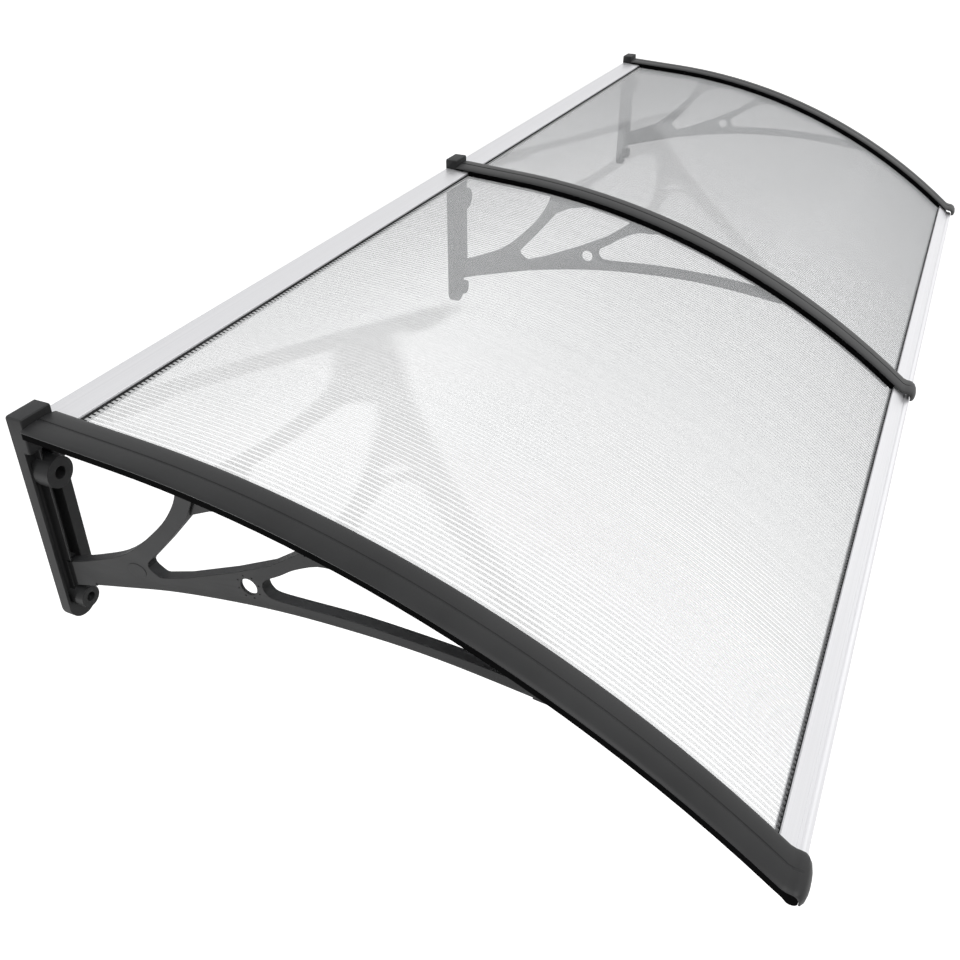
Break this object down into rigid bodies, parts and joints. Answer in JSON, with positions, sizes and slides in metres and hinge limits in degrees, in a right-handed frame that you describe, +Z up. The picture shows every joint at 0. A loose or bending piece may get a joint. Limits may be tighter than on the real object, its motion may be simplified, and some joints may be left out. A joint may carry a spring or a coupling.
{
  "type": "door canopy",
  "caption": "Curved door canopy: translucent roof sheets on dark openwork wall brackets, with crowned cover strips and light edge profiles.",
  "frame": {"origin": "on the flat back of the middle bracket's wall plate, on its centre line, level with the roof sheet's top at the wall", "axes": "+X along the wall to the right seen from the front, +Y into the wall, +Z up; the roof reaches out towards -Y"},
  "size_m": [1.8444, 0.7599, 0.27],
  "materials": {
    "bracket_plastic": "satin dark grey",
    "strip_plastic": "satin dark grey",
    "seal_rubber": "matt black",
    "profile_metal": "fine satin",
    "sheet_plastic": "translucent, ribbed inside"
  },
  "bodies": {
    "root": {"bracket_left": "bracket_plastic", "bracket_middle": "bracket_plastic", "bracket_right": "bracket_plastic", "cover_strip_left": "strip_plastic", "cover_strip_middle": "strip_plastic", "cover_strip_right": "strip_plastic", "edge_seal_left_a": "seal_rubber", "edge_seal_left_b": "seal_rubber", "edge_seal_middle_a": "seal_rubber", "edge_seal_middle_b": "seal_rubber", "edge_seal_right_a": "seal_rubber", "edge_seal_right_b": "seal_rubber", "roof_sheet_left": "sheet_plastic", "roof_sheet_right": "sheet_plastic", "rear_profile_left": "profile_metal", "rear_profile_right": "profile_metal", "front_profile_left": "profile_metal", "front_profile_right": "profile_metal", "rear_gasket_left": "seal_rubber", "rear_gasket_right": "seal_rubber", "front_gasket_left": "seal_rubber", "front_gasket_right": "seal_rubber"}
  },
  "joints": []
}
